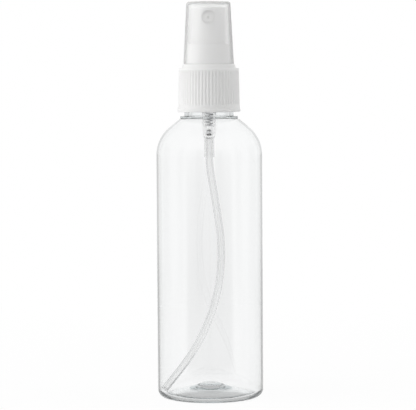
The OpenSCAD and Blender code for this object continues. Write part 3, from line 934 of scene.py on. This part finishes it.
@dataclass
class Collar:
    """White screw collar with grip ribs and the sleeve that the dust cap grips."""

    in_r: float = 10.0 * MM
    top_r: float = 11.45 * MM
    draft: float = 0.35 * MM
    lip_h: float = 0.9 * MM
    top_z: float = 125.993 * MM
    roof_z: float = 123.693 * MM
    roof_hole_r: float = 5.35 * MM
    cone_h: float = 1.45 * MM
    cone_r: float = 9.8 * MM
    cone_flare: float = 0.55 * MM
    sleeve_r: float = 8.18 * MM
    sleeve_foot_r: float = 8.58 * MM
    sleeve_in_r: float = 7.2 * MM
    rib_count: int = 57
    rib_depth: float = 0.28 * MM
    rib_bottom: float = 2.6 * MM
    rib_top: float = 1.2 * MM
    rib_fade: float = 0.5 * MM
    # Segments from one rib to the next, and the share of the depth by column and by ring
    columns: int = 8
    column_depths: tuple[float, ...] = (1.0, 0.82, 0.32)
    ring_depths: tuple[float, ...] = (0.5, 1.0, 1.0)
    on_crest: float = 10 * WELD
    thread_r: float = 0.72 * MM
    thread_drop: float = 1.3 * MM
    thread_turns: float = 1.25
    fillet_step: float = math.radians(15)
    lip_r: float = field(default_factory=lambda: reach("screw_collar"))
    bottom_z: float = field(default_factory=lambda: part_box("screw_collar")[0].z)
    sleeve_top_z: float = field(default_factory=lambda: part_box("screw_collar")[1].z)

    def crest_r(self, z: float) -> float:
        """Returns the radius of the rib crests at a height."""
        return self.top_r + self.draft * (self.top_z - z) / (self.top_z - self.bottom_z)

    @property
    def rib_heights(self) -> list[float]:
        """Returns the heights of the rings at which the grooves start, deepen and end."""
        low, high = self.bottom_z + self.rib_bottom, self.top_z - self.rib_top
        return [low, low + self.rib_fade / 2, low + self.rib_fade, high - self.rib_fade / 2, high]

    def outline(self) -> list[Point]:
        """Draws the outline of the collar before its grooves are pressed in.

        Returns:
            The outline's points, in order.
        """
        lip_z = self.bottom_z + self.lip_h
        cone_z = self.top_z + self.cone_h
        fine, edge = 0.12 * MM, 0.4 * MM
        corners = [
            Corner(self.in_r, self.bottom_z, fine),
            Corner(self.lip_r, self.bottom_z, fine),
            Corner(self.lip_r, lip_z, fine),
            Corner(self.crest_r(lip_z), lip_z + edge / 2, fine),
            *[Corner(self.crest_r(z), z) for z in self.rib_heights],
            Corner(self.top_r, self.top_z, edge),
            Corner(self.cone_r + self.cone_flare, self.top_z, fine),
            Corner(self.cone_r, cone_z, fine),
            Corner(self.sleeve_foot_r, cone_z, fine),
            Corner(self.sleeve_r, self.sleeve_top_z, 2 * fine),
            Corner(self.sleeve_in_r, self.sleeve_top_z, 2 * fine),
            Corner(self.sleeve_in_r, self.top_z, fine),
            Corner(self.roof_hole_r, self.top_z, fine),
            Corner(self.roof_hole_r, self.roof_z, fine),
            Corner(self.in_r, self.roof_z, fine),
        ]
        return rounded(corners, closed=True, widest=self.fillet_step)

    def groove_column(self, place: Vector, ring_z: float) -> int | None:
        """Tells how many columns a point on a ring lies from the middle of a groove.

        Args:
            place: Place of the point.
            ring_z: Height of the ring.

        Returns:
            The number of columns, or None for a point that isn't on the ring's crests.
        """
        if abs(place.z - ring_z) > WELD:
            return None
        if abs(place.xy.length - self.crest_r(ring_z)) > self.on_crest:
            return None
        step = FULL_TURN / (self.rib_count * self.columns)
        column = round(math.atan2(place.y, place.x) / step) % self.columns
        return min(column, self.columns - column)

    def press_grooves(self, piece: Piece) -> None:
        """Presses the grooves between the ribs into the side of the turned collar.

        Args:
            piece: Turned collar.
        """
        for ring_z, ring_share in zip(self.rib_heights[1:], self.ring_depths):
            for column, share in enumerate(self.column_depths):
                pick(piece, lambda place: self.groove_column(place, ring_z) == column)
                scale = 1 - self.rib_depth * share * ring_share / self.crest_r(ring_z)
                with editing(piece):
                    bpy.ops.transform.resize(value=(scale, scale, 1), center_override=(0, 0, 0))

    def build(self, bottle: Bottle, material: Material) -> None:
        """Models the collar and puts it in place, its thread under the bottle's.

        Args:
            bottle: Bottle that it screws on.
            material: White finish.
        """
        steps = self.rib_count * self.columns
        piece = turned("ribbed_collar", self.outline(), closed=True, steps=steps)
        self.press_grooves(piece)
        thread = thread_bead(
            "collar_thread",
            self.in_r - bottle.thread_h + self.thread_r,
            self.thread_r,
            self.thread_turns,
            bottle.thread_low_z - self.thread_drop,
            bottle.thread_pitch,
        )
        combine(piece, thread)
        seat(piece, "screw_collar", "collar", material)


@dataclass
class DustCap:
    """Milky pull-off cap over the spray button."""

    wall: float = 0.95 * MM
    top_t: float = 0.8 * MM
    crown: float = 0.2 * MM
    # Share of the crown's height that is reached half way in from the rim
    crown_half: float = 0.75
    taper: float = math.radians(3)
    edge_r: float = 0.7 * MM
    foot_r: float = field(default_factory=lambda: reach("dust_cap"))
    bottom_z: float = field(default_factory=lambda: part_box("dust_cap")[0].z)
    crown_z: float = field(default_factory=lambda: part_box("dust_cap")[1].z)

    def outer_r(self, z: float) -> float:
        """Returns the outer radius at a height."""
        return self.foot_r - (z - self.bottom_z) * math.tan(self.taper)

    def outline(self) -> list[Point]:
        """Draws the outline of the cap, from the middle of its inner roof to its crown.

        Returns:
            The outline's points, in order.
        """
        rim_z = self.crown_z - self.crown
        roof_z = rim_z - self.top_t
        fine, small = 0.15 * MM, 0.4 * MM
        half_r = self.outer_r(rim_z) / 2
        corners = [
            Corner(0, roof_z),
            Corner(self.outer_r(roof_z) - self.wall, roof_z, small),
            Corner(self.foot_r - self.wall, self.bottom_z, fine),
            Corner(self.foot_r, self.bottom_z, fine),
            Corner(self.outer_r(rim_z), rim_z, self.edge_r),
            Corner(half_r, rim_z + self.crown_half * self.crown, half_r),
            Corner(0, self.crown_z),
        ]
        return rounded(corners, closed=False)

    def build(self, material: Material) -> None:
        """Models the cap and puts it in place.

        Args:
            material: Milky finish.
        """
        piece = turned("milky_dust_cap", self.outline(), closed=False)
        seat(piece, "dust_cap", "cap", material)
        piece.visible_shadow = False


@dataclass
class DipTube:
    """Bent tube from the pump down to the corner of the base."""

    outer_r: float = 1.4 * MM
    wall: float = 0.5 * MM
    lead: float = 0.6 * MM
    lean_right: float = math.radians(9)
    lean_right_r: float = 30 * MM
    lean_left: float = math.radians(38.5)
    lean_left_r: float = 72 * MM
    side_gap: float = 0.65 * MM
    floor_gap: float = 1.1 * MM
    ring_step: float = 1.2 * MM
    sides: int = 24
    right_steps: int = 8
    left_steps: int = 40
    top_z: float = field(default_factory=lambda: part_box("dip_tube")[1].z)
    socket_z: float = field(default_factory=lambda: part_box("pump_body")[0].z)

    def route(self, bottle: Bottle) -> list[Vector]:
        """Returns the centre line, which bends to the right and then, in a long bend, to the left.

        Args:
            bottle: Bottle whose side and floor the lower end lies at.

        Returns:
            The points of the centre line, from the pump down.
        """
        right, left = self.lean_right, self.lean_left
        right_r, left_r = self.lean_right_r, self.lean_left_r
        start_z = self.socket_z - self.lead
        end_x = -(bottle.inner_r - self.side_gap - self.outer_r * math.cos(left))
        end_z = bottle.floor_z + self.floor_gap
        run_x = end_x - right_r * (1 - math.cos(right))
        run_x -= left_r * (math.cos(left) - math.cos(right))
        run_z = start_z - end_z - right_r * math.sin(right)
        run_z -= left_r * (math.sin(right) + math.sin(left))
        spread = math.sin(right + left)
        upper_run = (run_x * math.cos(left) + run_z * math.sin(left)) / spread
        upper_turn = (math.pi, math.pi + right)
        upper = arc_points((right_r, start_z), right_r, *upper_turn, self.right_steps)
        turn_x = upper[-1][0] + upper_run * math.sin(right)
        turn_z = upper[-1][1] - upper_run * math.cos(right)
        middle = (turn_x - left_r * math.cos(right), turn_z - left_r * math.sin(right))
        lower = arc_points(middle, left_r, right, -left, self.left_steps)
        bends = [(0, self.top_z), *upper, *lower, (end_x, end_z)]
        path = [Vector((x, 0, z)) for x, z in bends]
        route = [path[0]]
        for start, end in zip(path, path[1:]):
            pieces = max(1, round((end - start).length / self.ring_step))
            route += [start.lerp(end, (i + 1) / pieces) for i in range(pieces)]
        return route

    def build(self, bottle: Bottle, material: Material) -> None:
        """Models the tube with its bore and puts it in place.

        Args:
            bottle: Bottle that it stands in.
            material: Clear finish.
        """
        path = self.route(bottle)
        piece = swept("bent_dip_tube", path, self.outer_r, [1.0] * len(path), self.sides)
        ends = (path[0], path[-1])
        near = self.outer_r / 2
        pick(
            piece,
            lambda place: any((place - end).length < near for end in ends),
            SelectMode.FACES,
        )
        with editing(piece, SelectMode.FACES):
            bpy.ops.mesh.delete(type="FACE")
        apply_modifier(piece, "SOLIDIFY", thickness=self.wall, offset=-1.0, use_even_offset=True)
        seat(piece, "dip_tube", "pump", material)
        piece.visible_shadow = False


@dataclass
class ReturnSpring:
    """Steel spring under the valve pin, with closed end turns."""

    wire_r: float = 0.25 * MM
    turns: float = 10
    closed_turns: float = 0.5
    pressed_share: float = 0.625
    steps: int = 32
    sides: int = 10
    outer_r: float = field(default_factory=lambda: reach("return_spring"))
    low_z: float = field(default_factory=lambda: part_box("return_spring")[0].z)
    high_z: float = field(default_factory=lambda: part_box("return_spring")[1].z)

    def height(self, turn: float) -> float:
        """Returns the height of the wire's middle.

        Args:
            turn: Number of turns from the lower end.

        Returns:
            The height there.
        """
        bottom, top = self.low_z + self.wire_r, self.high_z - self.wire_r
        closed_rise = self.closed_turns * self.wire_r
        slow = self.closed_turns
        if turn <= slow:
            return bottom + closed_rise * turn / slow
        if turn >= self.turns - slow:
            return top - closed_rise * (self.turns - turn) / slow
        free_rise = top - bottom - 2 * closed_rise
        return bottom + closed_rise + free_rise * (turn - slow) / (self.turns - 2 * slow)

    def build(self, material: Material) -> None:
        """Models the spring, puts it in place and gives it a mesh of its own.

        Args:
            material: Steel finish.
        """
        path = helix(self.outer_r - self.wire_r, self.turns, self.height, self.steps)
        piece = swept("wound_spring", path, self.wire_r, [1.0] * len(path), self.sides)
        seat(piece, "return_spring", "pump", material)
        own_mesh(piece)


@dataclass(frozen=True)
class SoftBox:
    """Large soft lamp round the object, that lights it and isn't seen itself."""

    name: str
    angle: float
    distance: float
    height: float
    size: Point
    power: float
    aim_z: float = 0.08

    def build(self) -> None:
        """Adds the lamp, at its angle from the front and turned to the object."""
        lamp = bpy.data.lights.new(self.name, "AREA")
        lamp.shape = "RECTANGLE"
        lamp.size, lamp.size_y = self.size
        lamp.energy = self.power
        box = bpy.data.objects.new(self.name, lamp)
        bpy.context.scene.collection.objects.link(box)
        x, y = self.distance * math.sin(self.angle), -self.distance * math.cos(self.angle)
        place = Vector((x, y, self.height))
        aim = Vector((0, 0, self.aim_z)) - place
        box.location = place
        box.rotation_euler = aim.to_track_quat("-Z", "Y").to_euler()
        box.visible_camera = False
        box.visible_transmission = False
        box.visible_glossy = False


@dataclass
class Studio:
    """White room: a pale floor, a white surround and three large soft boxes."""

    # Plain light of the surround, in the open and behind clear walls
    ambient: float = 0.45
    inside_ambient: float = 0.8
    # How white the floor looks, under the object's foot, beside it and far away; under the foot
    # less white glow lets the bottle's real shadow show and adds a painted shade
    floor_size: float = 6.0
    floor_color: Color = (0.9, 0.9, 0.9)
    floor_white: float = 0.96
    far_span: Point = (0.05, 0.3)
    shaded_foot_white: float = 0.3
    foot_r: float = 15 * MM
    foot_fade: float = 4 * MM
    # Plain greys that show along the outline of clear pieces
    sky_edge: float = 0.75
    far_edge: float = 0.58
    near_edge: float = 0.22
    edge_span: Point = (0.1, 0.7)
    edge_start: float = 9 * MM
    # A ray through one wall crosses about so many faces, give or take
    one_wall: Point = (2.0, 1.5)
    # White panels all round and the grey gaps between them
    spoke_start: float = 150 * MM
    panel_count: int = 8
    panel_half: float = math.radians(10.5)
    gap_start: float = math.radians(19)
    gap_level: float = 0.75
    panel_top: float = 0.2
    front_level: float = 0.85
    front_span: Point = (-0.85, -0.6)
    # What starts at some distance on the floor is full at so many times that distance
    full_at: float = 3
    # Grey strips on the floor
    strip_start: float = 40 * MM
    strip_half: float = 8.8 * MM
    strip_spread: float = 0.025
    strip_edge: Point = (0.85, 1.15)
    strip_span: Point = (0.45, 2.6)
    strip_level: float = 0.895
    strip_far_level: float = 1.0
    # How many times light bounces, and the brightest that a bounce may add
    bounces: int = 40
    glossy_bounces: int = 16
    brightest: float = 1.5

    def panels(self, graph: Graph, place: Socket) -> Socket:
        """Adds the white panels that stand all round, with a grey gap from each to the next.

        Args:
            graph: Graph of the floor or the world.
            place: Direction or place round the Z axis.

        Returns:
            A value of 1 on a panel and less in a gap.
        """
        apart = graph.add("ShaderNodeSeparateXYZ", {0: place}).outputs
        angle = graph.math("ARCTAN2", apart[1], apart[0])
        share = self.panel_count / FULL_TURN
        from_panel = graph.math("PINGPONG", graph.math("MULTIPLY", angle, share), 0.5)
        gap = graph.ramp(apart[2], (self.panel_top, 2 * self.panel_top), (self.gap_level, 1.0))
        span = (self.panel_half * share, self.gap_start * share)
        fade = graph.ramp(from_panel, span, (1.0, gap), soft=True)
        side = graph.math("SINE", angle)
        front = graph.ramp(side, self.front_span, (self.front_level, 1.0), soft=True)
        return graph.math("MULTIPLY", fade, front)

    def strips(self, graph: Graph, place: Socket) -> Socket:
        """Adds the grey strips that run out over the floor to its four sides.

        Args:
            graph: Graph of the floor.
            place: Place on the floor.

        Returns:
            A value of 1 beside the strips and less on them.
        """
        apart = graph.add("ShaderNodeSeparateXYZ", {0: place}).outputs
        sides = [graph.math("ABSOLUTE", apart[i]) for i in (0, 1)]
        across, along = graph.math("MINIMUM", *sides), graph.math("MAXIMUM", *sides)
        half = graph.math("ADD", graph.math("MULTIPLY", along, self.strip_spread), self.strip_half)
        grey = graph.ramp(along, self.strip_span, (self.strip_level, self.strip_far_level))
        middle = graph.ramp(along, (self.strip_start, 2 * self.strip_start), (1.0, grey))
        from_middle = graph.math("DIVIDE", across, half)
        return graph.ramp(from_middle, self.strip_edge, (middle, 1.0), soft=True)

    def seen(
        self, graph: Graph, place: Socket, panel_share: Level, strip: Level, edge: Level
    ) -> tuple[Socket, Socket]:
        """Adds what looking rays see: white for the camera, panels for clear and shiny pieces.

        A ray that leaves a clear piece after one wall, as along its outline, sees a plain grey.

        Args:
            graph: Graph of the floor or the world.
            place: Direction or place round the Z axis.
            panel_share: How much of the panels shows.
            strip: Level that dims what is seen.
            edge: The plain grey.

        Returns:
            A mask of the rays that only look, and the grey level that they see.
        """
        path = graph.add("ShaderNodeLightPath").outputs
        shine = graph.math("MAXIMUM", path["Is Glossy Ray"], path["Is Transmission Ray"])
        looks = graph.math("MAXIMUM", path["Is Camera Ray"], shine)
        # Depths are whole numbers, so less than a half is none
        direct = graph.math("LESS_THAN", path["Diffuse Depth"], 0.5)
        one_wall = graph.math("COMPARE", path["Transmission Depth"], *self.one_wall)
        panels = graph.blend(panel_share, 1.0, self.panels(graph, place))
        shown = graph.blend(one_wall, graph.math("MULTIPLY", panels, strip), edge)
        level = graph.math("MAXIMUM", path["Is Camera Ray"], shown)
        return graph.math("MULTIPLY", looks, direct), level

    def surround(self) -> None:
        """Makes the world: white to look at, and a plain grey level of light."""
        world = bpy.data.worlds.new("white_surround")
        bpy.context.scene.world = world
        world.use_nodes = True
        graph = Graph(world.node_tree)
        place = graph.add("ShaderNodeTexCoord").outputs["Generated"]
        looks, level = self.seen(graph, place, 1.0, 1.0, self.sky_edge)
        crossed = graph.add("ShaderNodeLightPath").outputs["Transmission Depth"]
        # The lamps don't reach what lies behind a clear wall, so more of the surround's light does
        plain = graph.ramp(crossed, (0.0, 1.0), (self.ambient, self.inside_ambient))
        tones = {0: looks, 6: graph.grey(plain), 7: graph.grey(level)}
        mix = graph.add("ShaderNodeMix", tones, data_type="RGBA")
        back = graph.add("ShaderNodeBackground", {"Color": mix.outputs[2], "Strength": 1.0})
        graph.add("ShaderNodeOutputWorld", {"Surface": back.outputs[0]})

    def floor(self) -> None:
        """Makes the floor, which blends into the surround and keeps the object's shadow, with a
        painted shade under the object's foot.
        """
        floor = start_piece("floor", bpy.ops.mesh.primitive_plane_add, size=self.floor_size)
        material, graph = new_material("pale_floor")
        lit = graph.add("ShaderNodeBsdfDiffuse", {"Color": rgba(self.floor_color)})
        place = graph.add("ShaderNodeTexCoord").outputs["Object"]
        away = graph.add("ShaderNodeVectorMath", {0: place}, operation="LENGTH").outputs["Value"]
        spokes, edges = [
            graph.ramp(away, (start, self.full_at * start), (0.0, 1.0))
            for start in (self.spoke_start, self.edge_start)
        ]
        grey = graph.ramp(away, self.edge_span, (self.near_edge, self.far_edge))
        edge = graph.blend(edges, 1.0, grey)
        looks, level = self.seen(graph, place, spokes, self.strips(graph, place), edge)
        plain = graph.add("ShaderNodeEmission", {"Color": graph.grey(level), "Strength": 1.0})
        # Less white glow under the foot than beside it: a painted shade on top of the bottle's real
        # shadow
        foot_span = (self.foot_r, self.foot_r + self.foot_fade)
        near = graph.ramp(away, foot_span, (self.shaded_foot_white, self.floor_white), soft=True)
        far = graph.ramp(away, self.far_span, (near, 1.0))
        share = graph.math("MULTIPLY", looks, far)
        mix = graph.add("ShaderNodeMixShader", {0: share, 1: lit.outputs[0], 2: plain.outputs[0]})
        graph.add("ShaderNodeOutputMaterial", {"Surface": mix.outputs[0]})
        floor.data.materials.append(material)

    def soft_boxes(self) -> list[SoftBox]:
        """Places the lamps round the object.

        Returns:
            The lamps at the left, at the right and above.
        """
        left, right = math.radians(-70), math.radians(92)
        return [
            SoftBox("left_box", left, distance=0.75, height=0.4, size=(0.85, 1.25), power=5.4),
            SoftBox("right_box", right, distance=0.75, height=0.35, size=(0.6, 1.1), power=2.0),
            SoftBox("top_box", math.pi, distance=0.1, height=0.9, size=(0.7, 0.7), power=1.0),
        ]

    def build(self) -> None:
        """Sets the surround, the floor and the lamps."""
        scene = bpy.context.scene
        scene.view_settings.view_transform = "Standard"
        scene.cycles.max_bounces = self.bounces
        scene.cycles.transmission_bounces = self.bounces
        scene.cycles.glossy_bounces = self.glossy_bounces
        scene.cycles.sample_clamp_indirect = self.brightest
        self.surround()
        self.floor()
        for box in self.soft_boxes():
            box.build()


@dataclass
class PhotoCamera:
    """Camera at the photograph's viewing angle."""

    lens: float = 182.7
    sensor: float = 36.0
    nearest: float = 0.01
    distance: float = 0.806
    height: float = 0.130
    aim: tuple[float, float, float] = (-0.0006, 0.0, 0.0736)
    roll: float = math.radians(-0.35)

    def build(self) -> None:
        """Makes the camera and gives it to the scene."""
        data = bpy.data.cameras.new("photo_camera")
        data.lens = self.lens
        data.sensor_width = self.sensor
        data.sensor_fit = "HORIZONTAL"
        data.clip_start = self.nearest
        camera = bpy.data.objects.new("photo_camera", data)
        bpy.context.scene.collection.objects.link(camera)
        place = Vector((self.aim[0], -self.distance, self.height))
        look = (Vector(self.aim) - place).to_track_quat("-Z", "Y")
        camera.location = place
        camera.rotation_euler = (look @ Quaternion((0, 0, 1), self.roll)).to_euler()
        bpy.context.scene.camera = camera


def main() -> None:
    """Builds the pieces in order and reports each one."""
    logging.basicConfig(level=logging.INFO, format="%(name)s: %(message)s")
    add_moulded_surface()
    add_drawn_lines()
    materials = {slot: finish.material(slot) for slot, finish in finishes().items()}
    bottle = Bottle()
    bottle.build(materials["clear_bottle"])
    Collar().build(bottle, materials["white_collar"])
    DustCap().build(materials["milky_cap"])
    DipTube().build(bottle, materials["tube_natural"])
    ReturnSpring().build(materials["spring_steel"])
    inner = {
        "spray_button": "white_button",
        "nozzle_insert": "nozzle_white",
        "neck_gasket": "gasket_foam",
        "pump_body": "pump_natural",
        "stem_guide": "guide_white",
        "stem": "stem_white",
        "valve_pin": "stem_white",
        "piston": "piston_soft",
        "check_ball": "ball_steel",
    }
    for node, slot in inner.items():
        dress_node(node, materials[slot])
    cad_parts["pump_body"].visible_shadow = False
    Studio().build()
    PhotoCamera().build()


if __name__ == "__main__":
    main()
